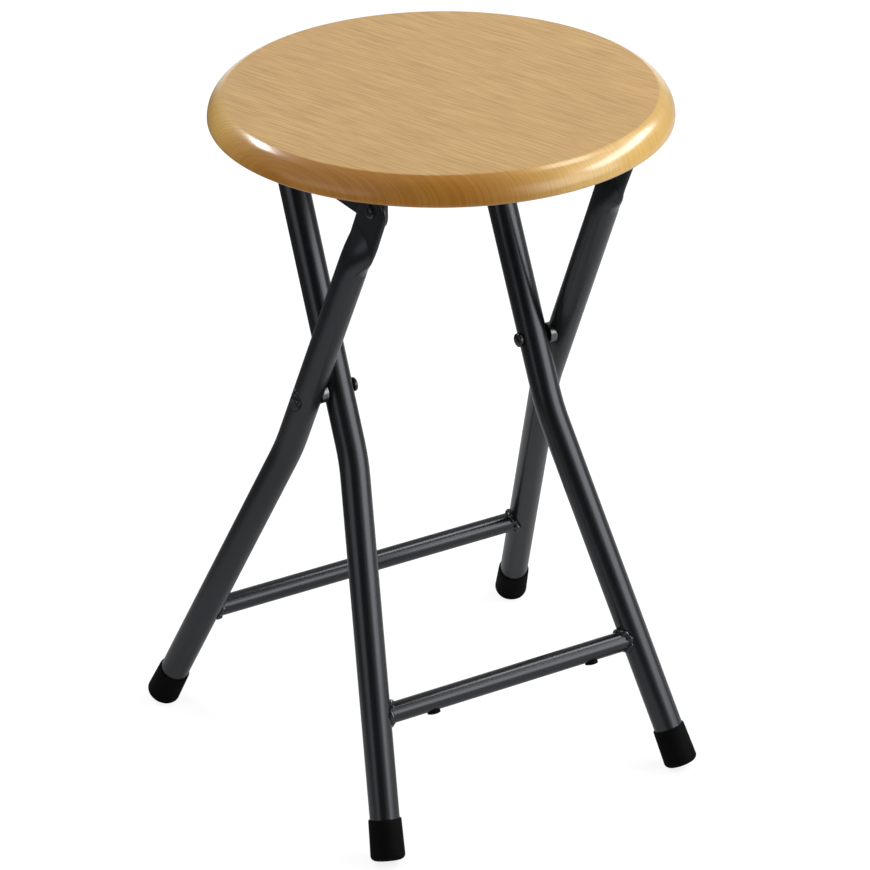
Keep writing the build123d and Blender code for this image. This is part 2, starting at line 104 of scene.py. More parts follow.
# Seat hinge
RIVET_HEAD_RADIUS = 4.6 * MM
RIVET_HEAD_HEIGHT = 2.6 * MM
RIVET_TAIL_RADIUS = 6 * MM
RIVET_TAIL_HEIGHT = 1.8 * MM
HINGE_PLAY = 0.2 * MM
HINGE_PIN_RADIUS = 3 * MM
WASHER_RADIUS = 8 * MM
WASHER_THICKNESS = 1 * MM
RAIL_THICKNESS = 2 * MM

# Welds, drain plugs and feet
WELD_RADIUS = 2.3 * MM
PLUG_HEAD_RADIUS = 4.5 * MM
PLUG_RIM = 1.2 * MM
PLUG_DOME = 1.1 * MM
PLUG_STEM = 3 * MM
PLUG_SOFT_EDGE = 0.3 * MM
PLUG_INSETS = {"left": 32.5 * MM, "right": 27.5 * MM}
FOOT_RADIUS = 11.7 * MM
FOOT_LIP_RADIUS = 11.1 * MM
FOOT_LENGTH = 27.5 * MM
FOOT_FLOOR = 6 * MM
FOOT_ROUND = 3.5 * MM
FOOT_LIP_ROUND = 0.9 * MM
FOOT_TRIM = 0.05 * MM
FOOT_GRIP = 0.2 * MM
SOLE_CUT = 1 * MM

# Mesh fineness and the angle from which an edge is sharp
TUBE_SIDES = 96
LATHE_SIDES = 72
SEAT_SIDES = 256
BEND_STEP = np.radians(1.5)
SHARP_ANGLE = np.radians(40)

# Camera at the photograph's viewpoint: degrees, metres, and the focal length over the image width
CAMERA_AZIMUTH = -30.62
CAMERA_ELEVATION = 26.96
CAMERA_ROLL = -0.39
CAMERA_PLACE = (-1.20165, -2.0232, 1.42933)
CAMERA_FOCAL_RATIO = 3924.26 / 870
SENSOR_WIDTH = 36.0


def unit(vector):
    """Vectors scaled to length one."""
    return vector / np.linalg.norm(vector, axis=-1, keepdims=True)


def direction(azimuth, elevation):
    """Unit vector towards an azimuth, 0 to the front and 90 to the right, and an elevation, in degrees."""
    a, e = np.radians(azimuth), np.radians(elevation)
    return np.array([np.sin(a) * np.cos(e), -np.cos(a) * np.cos(e), np.sin(e)])


def ease(amount):
    """Smooth step from 0 to 1: three times the square less twice the cube, held outside that range."""
    held = np.clip(amount, 0, 1)
    return held * held * (3 - 2 * held)


def rounded(corners, radii, step=BEND_STEP):
    """Polyline with its inner corners turned into arcs.

    An arc starts the radius times the tangent of half the turn before its corner, and its points are
    centre minus normal times the cosine plus heading times the sine, times the radius.
    """
    corners = np.asarray(corners, float)
    runs = [corners[:1]]
    for corner, before, after, radius in zip(corners[1:-1], corners[:-2], corners[2:], radii):
        heading, leaving = unit(corner - before), unit(after - corner)
        turn = np.arccos(np.clip(heading @ leaving, -1, 1))
        normal = unit(leaving - heading * (heading @ leaving))
        start = corner - heading * radius * np.tan(turn / 2)
        angle = np.linspace(0, turn, max(int(turn / step), 3))[:, None]
        runs.append(start + radius * (normal * (1 - np.cos(angle)) + heading * np.sin(angle)))
    return np.concatenate(runs + [corners[-1:]])


def arc(center, radii, start, stop, count=16):
    """Points of an ellipse: centre plus the radii times cosine and sine, from one angle to another in degrees."""
    angle = np.radians(np.linspace(start, stop, count))
    return np.stack([center[0] + radii[0] * np.cos(angle), center[1] + radii[1] * np.sin(angle)], -1)


def join(*runs):
    """One profile from runs of points."""
    return np.concatenate([np.asarray(run, float).reshape(-1, 2) for run in runs])


class LegLine:
    """Centre line of one leg frame in its leaning plane: x across, rise up along the legs from the pivot."""

    def __init__(self, lean, half_width, flare, splay, splay_drop, bar_drop):
        lean, self.splay = np.radians(lean), np.radians(splay)
        self.up = np.array([0, -np.sin(lean), np.cos(lean)])
        self.normal = np.array([0, -np.cos(lean), -np.sin(lean)])
        self.half_width = half_width
        self.flare = np.tan(np.radians(flare))
        self.splay_drop = splay_drop
        self.bar_drop = bar_drop
        tilt = np.arccos(np.cos(lean) * np.cos(self.splay))
        rim_sink = (FOOT_RADIUS - FOOT_ROUND) * np.sin(tilt) + FOOT_ROUND * (1 - np.cos(tilt))
        self.foot_drop = (PIVOT[2] - rim_sink + SOLE_CUT) / np.cos(lean)
        self.end_drop = self.foot_drop - FOOT_FLOOR * np.cos(self.splay)

    def upper_x(self, rise):
        """Half width of the nearly straight upper part."""
        return self.half_width - self.flare * rise

    def lower_x(self, drop):
        """Half width of the splayed lower part."""
        return self.upper_x(-self.splay_drop) + (drop - self.splay_drop) * np.tan(self.splay)

    def place(self, x, rise, off=0.0):
        """Points of the plane, and off it along its normal, in the stool's own frame."""
        x, rise, off = np.broadcast_arrays(x, rise, off)
        return PIVOT + x[..., None] * ACROSS + rise[..., None] * self.up + off[..., None] * self.normal

    def half_path(self, top):
        """Corners of the right leg, from its lower end up to a given rise."""
        return [
            (self.lower_x(self.end_drop), -self.end_drop),
            (self.upper_x(-self.splay_drop), -self.splay_drop),
            (self.upper_x(top), top),
        ]


outer = LegLine(26.4, OUTER_HALF_WIDTH, 1.9, 9.6, 52 * MM, 223.2 * MM)
inner = LegLine(-24.7, INNER_HALF_WIDTH, 0.65, 8.8, 49 * MM, 217.6 * MM)
frames = {"rear": outer, "front": inner}


def tube_rings(line, path, section_across, section_off):
    """Sweep a section along a path of a frame's plane.

    A ring is the path point plus the section's first offset along the in-plane normal of the path and
    its second offset along the normal of the frame's plane.
    """
    heading = unit(np.gradient(path, axis=0))
    x = path[:, :1] + section_across * heading[:, 1:]
    rise = path[:, 1:] - section_across * heading[:, :1]
    return line.place(x, rise, section_off)


def circle(radius, sides=TUBE_SIDES):
    """Offsets of a round section: radius times cosine and sine."""
    angle = np.linspace(0, 2 * np.pi, sides, endpoint=False)
    return radius * np.cos(angle)[None], radius * np.sin(angle)[None]


def shell(rings, loop=False, poles=None):
    """Closed skin over rings of points: quads between neighbours, and a fan to a pole at each open end."""
    count, sides = rings.shape[:2]
    index = np.arange(count * sides).reshape(count, sides)
    near = index if loop else index[:-1]
    far = np.roll(index, -1, 0) if loop else index[1:]
    quads = np.stack([near, np.roll(near, -1, 1), np.roll(far, -1, 1), far], -1).reshape(-1, 4)
    points = rings.reshape(-1, 3)
    fans = np.zeros((0, 3), int)
    if not loop:
        poles = rings[[0, -1]].mean(1) if poles is None else poles
        first, last = len(points), len(points) + 1
        points = np.concatenate([points, poles])
        start = np.stack([np.roll(index[0], -1), index[0], np.full(sides, first)], -1)
        stop = np.stack([index[-1], np.roll(index[-1], -1), np.full(sides, last)], -1)
        fans = np.concatenate([start, stop])
    return points, quads, fans


def lathe(profile, origin, axis, sides=LATHE_SIDES, loop=False):
    """Surface of revolution: origin plus distance along the axis plus radius times cosine and sine across it.

    The profile's rows are (distance, radius). It starts and ends on the axis, or is a ring about it.
    """
    axis = unit(np.asarray(axis, float))
    first = unit(np.cross(axis, [0.31, 0.57, 0.76]))
    second = np.cross(axis, first)
    angle = np.linspace(0, 2 * np.pi, sides, endpoint=False)[:, None]
    spokes = np.cos(angle) * first + np.sin(angle) * second
    rings = origin + profile[:, :1, None] * axis + profile[:, 1:, None] * spokes
    if loop:
        return shell(rings, loop=True)
    return shell(rings[1:-1], poles=origin + profile[[0, -1], :1] * axis)


def mirrored(rings, sign):
    """Rings of the right side, or their reflection across the YZ plane."""
    return rings * np.array([sign, 1.0, 1.0])


node_body = {node: body for body, nodes in frame["record"]["behaviour"]["bodies"].items() for node in nodes}


def show(name, node, skin, material):
    """Make a piece that stands for a node, rides on its body and takes its slot; faces are turned outwards."""
    points, quads, fans = skin
    halves = np.concatenate([quads[:, [0, 1, 2]], quads[:, [0, 2, 3]], fans])
    corners = points[halves]
    volume = np.einsum("ij,ij->", corners[:, 0], np.cross(corners[:, 1], corners[:, 2]))
    if volume < 0:
        quads, fans = quads[:, ::-1], fans[:, ::-1]
    mesh = bpy.data.meshes.new(name)
    mesh.from_pydata(points.tolist(), [], quads.tolist() + fans.tolist())
    mesh.polygons.foreach_set("use_smooth", np.ones(len(mesh.polygons), bool))
    mesh.set_sharp_from_angle(angle=SHARP_ANGLE)
    mesh.materials.append(material)
    piece = bpy.data.objects.new(name, mesh)
    bpy.context.collection.objects.link(piece)
    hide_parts(node)
    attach(piece, node_body[node])


class Shade:
    """A shader value: sums, products and the like on it add Math nodes to its tree."""

    def __init__(self, tree, socket=None):
        self.tree = tree
        self.socket = socket

    def fill(self, target, inputs):
        """Set or link sockets of a node."""
        for key, value in inputs.items():
            if isinstance(value, Shade):
                self.tree.links.new(value.socket, target.inputs[key])
            else:
                target.inputs[key].default_value = value

    def node(self, kind, settings=None, inputs=None, output=0):
        """Add a node of any kind: its settings first, then its sockets."""
        made = self.tree.nodes.new(kind)
        for key, value in (settings or {}).items():
            setattr(made, key, value)
        self.fill(made, inputs or {})
        return Shade(self.tree, made.outputs[output])

    def math(self, operation, first, second):
        return self.node("ShaderNodeMath", {"operation": operation}, {0: first, 1: second})

    def __add__(self, other):
        return self.math("ADD", self, other)

    def __sub__(self, other):
        return self.math("SUBTRACT", self, other)

    def __mul__(self, other):
        return self.math("MULTIPLY", self, other)

    def __rsub__(self, other):
        return self.math("SUBTRACT", other, self)

    __radd__ = __add__
    __rmul__ = __mul__

    def along(self, vector, way):
        """How far a vector reaches along a direction: their dot product."""
        return self.node("ShaderNodeVectorMath", {"operation": "DOT_PRODUCT"}, {0: vector, 1: tuple(way)}, "Value")

    def heading(self):
        """Level part of a vector, at length one."""
        level = self.node("ShaderNodeVectorMath", {"operation": "MULTIPLY"}, {0: self, 1: (1, 1, 0)})
        return self.node("ShaderNodeVectorMath", {"operation": "NORMALIZE"}, {0: level})

    def between(self, low, high):
        """0 below one value, 1 above another, and a smooth step between them."""
        sockets = {"Value": self, "From Min": low, "From Max": high}
        return self.node("ShaderNodeMapRange", {"interpolation_type": "SMOOTHSTEP"}, sockets)

    def mix(self, first, second):
        """Colour that goes from one to another with this value."""
        return self.node("ShaderNodeMix", {"data_type": "RGBA"}, {0: self, 6: first, 7: second}, output=2)

    def noise(self, vector, scale, detail=2.0, roughness=0.5):
        sockets = {"Vector": vector, "Scale": scale, "Detail": detail, "Roughness": roughness}
        return self.node("ShaderNodeTexNoise", None, sockets)

    def mapped(self, vector, scale=(1, 1, 1), turn=0.0, shift=(0, 0, 0)):
        """Coordinates scaled, turned about Z, then shifted."""
        sockets = {"Vector": vector, "Location": shift, "Rotation": (0, 0, turn), "Scale": scale}
        return self.node("ShaderNodeMapping", None, sockets)

    def bump(self, height, distance, strength=1.0):
        sockets = {"Height": height, "Distance": distance, "Strength": strength}
        return self.node("ShaderNodeBump", None, sockets)


def new_finish(name):
    """A material with its shader tree, its Object coordinates and its surface node."""
    material = bpy.data.materials.new(name)
    material.use_nodes = True
    shade = Shade(material.node_tree)
    place = shade.node("ShaderNodeTexCoord", output="Object")
    return material, shade, place, material.node_tree.nodes["Principled BSDF"]


GRAIN_ANGLE = np.radians(-71.5)
# Azimuth towards which the wrapped edge of the seat is painted darker and browner: painted shade
SHADED_EDGE_AZIMUTH = -50
seat_low, seat_high = (np.array(corner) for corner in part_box("seat_panel"))
SEAT_CENTER = (seat_low + seat_high) / 2
SEAT_RADIUS = (seat_high[0] - seat_low[0]) / 2
SEAT_TOP = seat_high[2]
SEAT_UNDERSIDE = seat_low[2]
EDGE_CENTER_Z = SEAT_UNDERSIDE + SEAT_EASE_HEIGHT
EDGE_HEIGHT = SEAT_TOP - EDGE_CENTER_Z
SEAT_EDGE_RADIUS = (SEAT_ROUND_WIDTH**2 + EDGE_HEIGHT**2) / (2 * SEAT_ROUND_WIDTH)
EDGE_CENTER_RADIUS = SEAT_RADIUS - SEAT_EDGE_RADIUS
FLAT_RADIUS = SEAT_RADIUS - SEAT_ROUND_WIDTH


def wood_film():
    """Light beech film: long fine grain streaks, short pores, a warmer wrapped edge painted with light and shade,
    darker and browner towards the front left and paler towards the right, and a bare board below.
    """
    material, shade, place, surface = new_finish("wood_film")
    centered = shade.mapped(place, shift=tuple(-SEAT_CENTER))
    turned = shade.mapped(centered, turn=-GRAIN_ANGLE)
    broad = shade.noise(shade.mapped(turned, (5, 60, 0)), 1.0, 2)
    streak = shade.noise(shade.mapped(turned, (16, 800, 0)), 1.0, 1, 0.5)
    fine = shade.noise(shade.mapped(turned, (40, 1500, 0)), 1.0, 1, 0.5)
    pore = shade.noise(shade.mapped(turned, (60, 1300, 0)), 1.0, 1, 0.4).between(0.6, 0.7)
    tone = broad * 0.03 + streak * 0.52 + fine * 0.45
    figure = tone.between(0.38, 0.62)
    top = figure.mix((0.454, 0.270, 0.095, 1), (0.608, 0.385, 0.151, 1))
    # Painted shade and painted light on the wrapped edge: a darker, browner copy of the film for the shaded front left,
    # a paler one for the lit right
    shaded_edge_colour = figure.mix((0.312, 0.126, 0.011, 1), (0.368, 0.156, 0.017, 1))
    lit_edge_colour = figure.mix((0.552, 0.330, 0.081, 1), (0.618, 0.382, 0.104, 1))
    # The edge colour turns from the lit copy to the shaded copy towards the front left: painted shade on the rim
    edge = shade.along(centered, direction(SHADED_EDGE_AZIMUTH, 0)).between(80 * MM, 139 * MM).mix(lit_edge_colour, shaded_edge_colour)
    radius = shade.node("ShaderNodeVectorMath", {"operation": "LENGTH"}, {0: shade.mapped(centered, (1, 1, 0))}, 1)
    wrapped = radius.between(FLAT_RADIUS - 0.4 * MM, FLAT_RADIUS + 1.2 * MM)
    film = wrapped.mix(top, edge)
    pored = (pore * 0.22).mix(film, (0.25, 0.11, 0.025, 1))
    height = shade.node("ShaderNodeSeparateXYZ", None, {0: place}, "Z")
    board_speck = shade.noise(place, 900.0, 3, 0.7)
    board = board_speck.mix((0.20, 0.13, 0.075, 1), (0.33, 0.23, 0.14, 1))
    covered = height.between(SEAT_UNDERSIDE + 0.1 * MM, SEAT_UNDERSIDE + 0.4 * MM)
    shade.fill(surface, {
        "Base Color": covered.mix(board, pored),
        "Roughness": 0.34 + 0.1 * streak + 0.3 * (1 - covered),
        "Specular IOR Level": 0.2,
        "Coat Weight": covered,
        "Coat IOR": 1.55,
        "Coat Roughness": 0.18,
        "Normal": shade.bump(streak * 0.5 + fine * 0.5 - pore * 0.4, 0.03 * MM, 0.5),
    })
    return material


def satin_paint():
    """Charcoal powder coat: nearly black, satin, with a faint orange peel and slight changes of gloss."""
    material, shade, place, surface = new_finish("satin_paint")
    peel = shade.noise(place, 700.0, 2, 0.5)
    cloud = shade.noise(place, 35.0, 3, 0.55)
    shade.fill(surface, {
        "Base Color": cloud.mix((0.0042, 0.0050, 0.0060, 1), (0.0068, 0.0078, 0.0092, 1)),
        "Roughness": 0.22 + 0.06 * cloud,
        "Specular IOR Level": 0.8,
        "Specular Tint": (0.88, 0.92, 1.0, 1),
        "Normal": shade.bump(peel, 0.02 * MM, 0.35),
    })
    return material


def weld_paint():
    """The same charcoal over weld beads: glossier and drawn over small lumps."""
    material, shade, place, surface = new_finish("weld_paint")
    lump = shade.noise(place, 420.0, 2, 0.5)
    shade.fill(surface, {
        "Base Color": lump.mix((0.0030, 0.0036, 0.0044, 1), (0.0068, 0.0078, 0.0092, 1)),
        "Roughness": 0.1,
        "Specular IOR Level": 1.0,
        "Specular Tint": (0.88, 0.92, 1.0, 1),
        "Normal": shade.bump(lump, 1.2 * MM),
    })
    return material


def black_metal():
    """Dark finish of the pins and rivets: the same charcoal, a little glossier, rubbed lighter in small random patches.
    """
    material, shade, place, surface = new_finish("black_metal")
    rub = shade.noise(place, 420.0, 3, 0.6)
    shade.fill(surface, {
        "Base Color": rub.between(0.55, 0.8).mix((0.004, 0.0045, 0.0055, 1), (0.018, 0.019, 0.022, 1)),
        "Roughness": 0.16 + 0.14 * rub,
        "Specular IOR Level": 0.7,
        "Normal": shade.bump(rub, 0.03 * MM, 0.4),
    })
    return material


def bright_zinc():
    """Bright plated steel with fine turning lines round the fold axis."""
    material, shade, place, surface = new_finish("bright_zinc")
    lines = shade.noise(shade.mapped(place, (2600, 40, 40)), 1.0, 2, 0.6)
    stain = shade.noise(place, 160.0, 3, 0.6)
    shade.fill(surface, {
        "Base Color": stain.mix((0.13, 0.13, 0.135, 1), (0.24, 0.24, 0.24, 1)),
        "Metallic": 1.0,
        "Roughness": 0.16 + 0.18 * lines,
        "Normal": shade.bump(lines, 0.01 * MM, 0.5),
    })
    return material


def black_rubber(name, roughness):
    """Black moulded rubber: matt, with a fine tooth."""
    material, shade, place, surface = new_finish(name)
    tooth = shade.noise(place, 1400.0, 3, 0.6)
    cloud = shade.noise(place, 90.0, 2, 0.5)
    shade.fill(surface, {
        "Base Color": cloud.mix((0.0008, 0.0008, 0.0009, 1), (0.0018, 0.0018, 0.0019, 1)),
        "Roughness": roughness + 0.12 * tooth,
        "Specular IOR Level": 0.08,
        "Normal": shade.bump(tooth, 0.05 * MM, 0.3),
    })
    return material


WOOD = wood_film()
PAINT = satin_paint()
WELD_PAINT = weld_paint()
DARK_METAL = black_metal()
ZINC = bright_zinc()
RUBBER = black_rubber("black_rubber", 0.62)
NYLON = black_rubber("black_nylon", 0.42)


def seat():
    """Seat: flat top, soft crease, round-over arc to the widest rim, small ease and flat underside, turned about Z."""
    crease = SEAT_CREASE_RADIUS
    reach = np.sqrt((SEAT_EDGE_RADIUS - crease) ** 2 - (EDGE_HEIGHT - crease) ** 2)
    tilt = np.degrees(np.arctan2(reach, EDGE_HEIGHT - crease))
    crease_center = (EDGE_CENTER_RADIUS + reach, SEAT_TOP - crease)
    flat = np.linspace(0, crease_center[0], 8)[:-1]
    profile = join(
        np.stack([flat, np.full_like(flat, SEAT_TOP)], -1),
        arc(crease_center, (crease, crease), 90, 90 - tilt, 10),
        arc((EDGE_CENTER_RADIUS, EDGE_CENTER_Z), (SEAT_EDGE_RADIUS,) * 2, 89 - tilt, 0, 40),
        arc((SEAT_RADIUS - SEAT_EASE_WIDTH, EDGE_CENTER_Z), (SEAT_EASE_WIDTH, SEAT_EASE_HEIGHT), -4, -90, 14),
        (0, SEAT_UNDERSIDE),
    )
    axis_base = np.array([SEAT_CENTER[0], SEAT_CENTER[1], 0])
    show("seat_board", "seat_panel", lathe(profile[:, ::-1], axis_base, (0, 0, 1), SEAT_SIDES), WOOD)


def outer_leg(side, sign):
    """Outer leg: a round tube whose top is pressed flat between two sloping ramps.

    Each face is the soft maximum of the slot's flat face and of the round tube sunk by a ramp that deepens with
    the square of the distance, which leaves an arched tongue of tube at the foot of the flat; half the sum plus
    half the root of the squared difference and softness. The front edge spreads in a short shoulder and the back
    edge over the whole ramp. The flat thins to its rim with the root of one less the sixth power of the share
    of its half width. Past the hinge the half width follows a circle, so the tip is round. At the pivot the
    outer face is pressed in to a flat dimple.
    """
    hinge_rise = (HINGE - PIVOT) @ outer.up
    path = rounded(outer.half_path(hinge_rise + PINCH_HALF_WIDTH), [SPLAY_BEND_RADIUS])
    length = np.concatenate([[0], np.cumsum(np.linalg.norm(np.diff(path, axis=0), axis=1))])
    pivot_at, hinge_at = (np.interp(rise, path[:, 1], length) for rise in (0, hinge_rise))
    neck_at = hinge_at - RAMP_FOOT - NECK_LEAD
    tip = np.sin(np.linspace(0, np.pi / 2, 24)[:-1])
    station = np.concatenate([
        np.linspace(0, pivot_at - DIMPLE_SPAN, 90)[:-1],
        np.linspace(pivot_at - DIMPLE_SPAN, pivot_at + DIMPLE_SPAN, 90)[:-1],
        np.linspace(pivot_at + DIMPLE_SPAN, neck_at, 24)[:-1],
        np.linspace(neck_at, hinge_at, 150)[:-1],
        hinge_at + PINCH_HALF_WIDTH * tip,
    ])
    line = np.stack([np.interp(station, length, path[:, axis]) for axis in (0, 1)], -1)
    below = (hinge_at - station)[:, None]
    angle = np.linspace(0, 2 * np.pi, TUBE_SIDES, endpoint=False)[None]
    front = np.sin(angle) > 0
    spread_foot = np.where(front, SHOULDER_FOOT, RAMP_FOOT)
    spread_top = np.where(front, SHOULDER_TOP, RAMP_TOP)
    spread = ease((spread_foot - below) / (spread_foot - spread_top))
    past = np.clip(-below / PINCH_HALF_WIDTH, 0, 1)
    slot = PINCH_HALF_WIDTH * np.sqrt(1 - past**2) * np.sin(angle)
    off = (1 - spread) * TUBE_RADIUS * np.sin(angle) + spread * slot
    facing = np.cos(angle)
    flat = PINCH_HALF_THICKNESS * np.sqrt((1 - np.sin(angle) ** 6) * (1 - past**6))
    ramp = np.clip((RAMP_FOOT - below) / (RAMP_FOOT - RAMP_TOP), 0, None) ** 2
    sunk = TUBE_RADIUS * np.abs(facing) - (TUBE_RADIUS - PINCH_HALF_THICKNESS) * ramp * (1 + np.abs(facing)) / 2
    soft = RAMP_SOFTNESS * ease(4 * ramp) * np.abs(facing)
    across = np.sign(facing) * (flat + sunk + np.sqrt((flat - sunk) ** 2 + soft**2)) / 2
    pinch_x = outer.upper_x(hinge_rise) - PINCH_INSET
    line[:, 0] += ease(ramp[:, 0]) * (pinch_x - line[:, 0])
    rings = tube_rings(outer, line, across, off)
    floor = OUTER_HALF_WIDTH + TUBE_RADIUS - DIMPLE_DEPTH
    reach = np.linalg.norm(rings[..., 1:] - PIVOT[1:], axis=-1)
    dish = floor + np.clip(reach - DIMPLE_RADIUS, 0, None)
    rings[..., 0] = np.where(reach < DIMPLE_SPAN, np.minimum(rings[..., 0], dish), rings[..., 0])
    show(f"outer_tube_{side}", f"outer_leg_{side}", shell(mirrored(rings, sign)), PAINT)


def inner_frame():
    """Inner frame: one round tube along an upturned U with splayed lower ends."""
    run_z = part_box("inner_frame_tube")[1][2] - TUBE_RADIUS
    run_rise = (run_z - PIVOT[2]) / inner.up[2]
    right = inner.half_path(run_rise)
    corners = right + [(-x, rise) for x, rise in reversed(right)]
    path = rounded(corners, [SPLAY_BEND_RADIUS, TOP_BEND_RADIUS, TOP_BEND_RADIUS, SPLAY_BEND_RADIUS])
    show("inner_tube", "inner_frame_tube", shell(tube_rings(inner, path, *circle(TUBE_RADIUS))), PAINT)


def bars():
    """Stretchers: straight round tubes that run into the legs at both ends."""
    for place, line in frames.items():
        end = line.lower_x(line.bar_drop)
        path = np.stack([np.linspace(-end, end, 40), np.full(40, -line.bar_drop)], -1)
        show(f"{place}_bar", f"{place}_stretcher", shell(tube_rings(line, path, *circle(BAR_RADIUS))), PAINT)


def weld_beads():
    """Weld beads: a lumpy ring along the curve where a bar meets its leg.

    At an angle round the bar, the curve lies on the leg's surface: the leg's half width there, less the
    root of the tube radius squared minus the sideways offset squared. The bead's radius swells and sinks
    with sines round the bar, which makes the ripples of the weld.
    """
    around = np.linspace(0, 2 * np.pi, 144, endpoint=False)[:, None]
    about = np.linspace(0, 2 * np.pi, 20, endpoint=False)[None]
    for place, line in frames.items():
        for side, sign in SIDES.items():
            phase = 1.3 * sign + (0.7 if place == "rear" else 0.0)
            lump = 0.24 * np.sin(9 * around + phase)
            lump = lump + 0.1 * np.sin(4 * around - 2 * phase) + 0.06 * np.sin(23 * around)
            girth = WELD_RADIUS * (0.85 + 0.2 * np.cos(around) + lump)
            off = BAR_RADIUS * np.sin(around)
            rise = -line.bar_drop + BAR_RADIUS * np.cos(around)
            leg_face = line.lower_x(-rise) - np.sqrt(TUBE_RADIUS**2 - off**2) / np.cos(line.splay)
            outward = girth * np.cos(about)
            rings = line.place(
                sign * (leg_face - girth * (0.25 + np.sin(about))),
                rise + outward * np.cos(around),
                off + outward * np.sin(around),
            )
            show(f"{place}_bead_{side}", f"{place}_weld_{side}", shell(rings, loop=True), WELD_PAINT)


def drain_plugs():
    """Drain plugs: a flat domed button on a short stem, turned about the frame's own down direction."""
    reach = inner.lower_x(inner.bar_drop) - TUBE_RADIUS
    edge = BAR_RADIUS + PLUG_RIM
    profile = join(
        (BAR_RADIUS - PLUG_STEM, 0),
        (BAR_RADIUS - PLUG_STEM, PLUG_HEAD_RADIUS - PLUG_SOFT_EDGE),
        (edge - PLUG_SOFT_EDGE, PLUG_HEAD_RADIUS),
        arc((edge, 0), (PLUG_DOME, PLUG_HEAD_RADIUS), 84, 6, 14),
        (edge + PLUG_DOME, 0),
    )
    for side, sign in SIDES.items():
        center = inner.place(sign * (reach - PLUG_INSETS[side]), -inner.bar_drop)
        show(f"drain_button_{side}", f"stretcher_plug_{side}", lathe(profile, center, -inner.up), RUBBER)


def feet():
    """Feet: flared rubber cups with a rounded sole edge and a soft lip.

    They are turned about the leg's line, and what would lie below the floor is flattened onto it.
    """
    lip = FOOT_LIP_ROUND
    profile = join(
        (0, 0),
        arc((FOOT_ROUND, FOOT_RADIUS - FOOT_ROUND), (-FOOT_ROUND, FOOT_ROUND - FOOT_TRIM), 0, 90, 14),
        arc((FOOT_LENGTH - lip, FOOT_LIP_RADIUS - lip), (lip, lip), 86, 0, 8),
        (FOOT_LENGTH, TUBE_RADIUS - FOOT_GRIP),
        (FOOT_FLOOR, TUBE_RADIUS - FOOT_GRIP),
        (FOOT_FLOOR, 0),
    )
    for place, line in frames.items():
        for side, sign in SIDES.items():
            bottom = line.place(sign * line.lower_x(line.foot_drop), -line.foot_drop)
            axis = -sign * np.sin(line.splay) * ACROSS + np.cos(line.splay) * line.up
            points, quads, fans = lathe(profile, bottom, axis)
            points[:, 2] = np.maximum(points[:, 2], 0)
            show(f"{place}_ferrule_{side}", f"{place}_foot_{side}", (points, quads, fans), RUBBER)


def pivots():
    """Scissor pivots, all turned about the fold axis: pin with a rolled hollow head, spacer sleeve and domed cap."""
    floor = OUTER_HALF_WIDTH + TUBE_RADIUS - DIMPLE_DEPTH
    roll_radius = (PIN_HEAD_RADIUS + PIN_HEAD_CUP) / 2
    roll_width = (PIN_HEAD_RADIUS - PIN_HEAD_CUP) / 2
    cap_face = INNER_HALF_WIDTH - TUBE_RADIUS - PIVOT_PLAY
    cap_edge = cap_face - CAP_RIM
    spacer_face = INNER_HALF_WIDTH + TUBE_RADIUS + PIVOT_PLAY
    spacer_end = spacer_face + SPACER_LENGTH + SPACER_SINK
    soft = PIVOT_SOFT_EDGE
    pin = join(
        (cap_edge, 0),
        (cap_edge, PIN_RADIUS),
        (floor, PIN_RADIUS),
        arc((floor, roll_radius), (PIN_HEAD_ROLL, roll_width), 90, -75, 22),
        (floor + PIN_HEAD_FLOOR, 0),
    )
    cap = join(
        (cap_face, 0),
        (cap_face, CAP_RADIUS - soft),
        arc((cap_face - soft, CAP_RADIUS - soft), (soft, soft), 45, 90, 5),
        arc((cap_edge, 0), (CAP_DOME, CAP_RADIUS), 92, 176, 18),
        (cap_edge - CAP_DOME, 0),
    )
    spacer = join(
        (spacer_face, PIN_RADIUS),
        (spacer_face, SPACER_RADIUS - soft),
        arc((spacer_face + soft, SPACER_RADIUS - soft), (soft, soft), 160, 90, 5),
        (spacer_end, SPACER_RADIUS),
        (spacer_end, PIN_RADIUS),
    )
    center = PIVOT * np.array([0, 1, 1])
    for side, sign in SIDES.items():
        axis = sign * ACROSS
        show(f"pin_head_{side}", f"pivot_pin_{side}", lathe(pin, center, axis), DARK_METAL)
        show(f"end_cap_{side}", f"pivot_cap_{side}", lathe(cap, center, axis), DARK_METAL)
        show(f"spacer_sleeve_{side}", f"pivot_spacer_{side}", lathe(spacer, center, axis, loop=True), ZINC)


